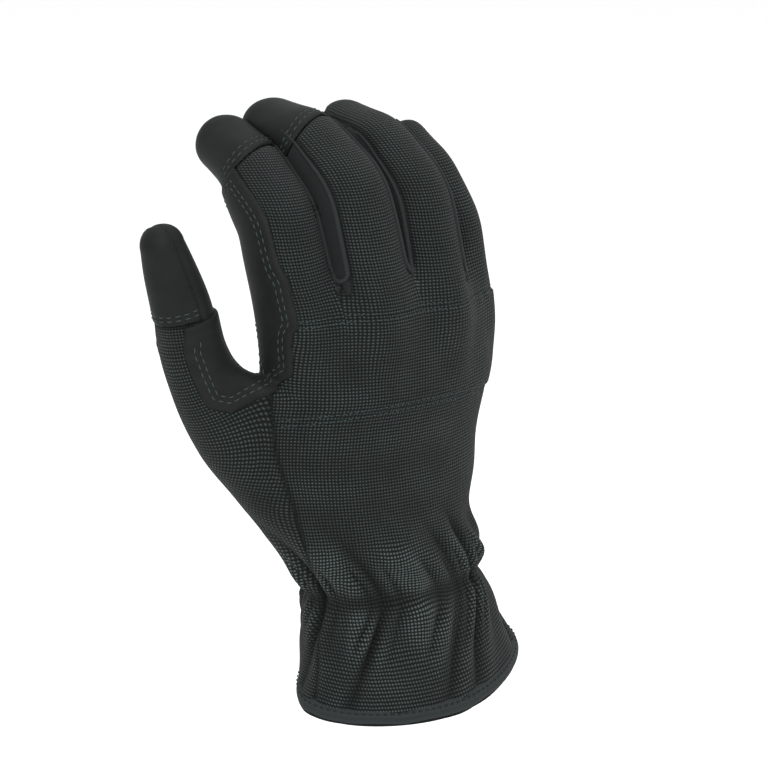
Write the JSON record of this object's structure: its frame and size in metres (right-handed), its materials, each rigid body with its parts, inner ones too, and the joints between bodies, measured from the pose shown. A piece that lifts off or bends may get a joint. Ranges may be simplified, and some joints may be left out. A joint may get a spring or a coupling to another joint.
{
  "type": "synthetic leather work glove",
  "caption": "Right-hand work glove with a stretch fabric back, synthetic leather palm and fingertip caps, a crotch patch at the thumb and a gathered cuff with a bound hem.",
  "frame": {"origin": "centre of the wrist opening, at the hem of the cuff", "axes": "+Z from the wrist to the fingers, -Y the back of the hand, +Y the palm, -X the thumb side, +X the little finger side"},
  "size_m": [0.1395, 0.1043, 0.2168],
  "materials": {
    "fabric": "ribbed stretch fabric with a grid of light nubs, matt",
    "leather": "smooth synthetic leather, matt with a soft sheen",
    "twill": "plain twill, matt",
    "tape": "folded binding tape, matt"
  },
  "bodies": {
    "root": {"index_cap": "leather", "middle_cap": "leather", "fourchette_index_middle": "twill", "fourchette_middle_ring": "twill", "fourchette_ring_little": "twill", "thumb_cap": "leather", "thumb_back": "fabric", "thumb_front": "leather", "back_panel": "fabric", "knuckle_panel": "fabric", "finger_backs": "fabric", "palm_panel": "leather", "crotch_patch": "leather", "cuff_binding": "tape"}
  },
  "joints": []
}
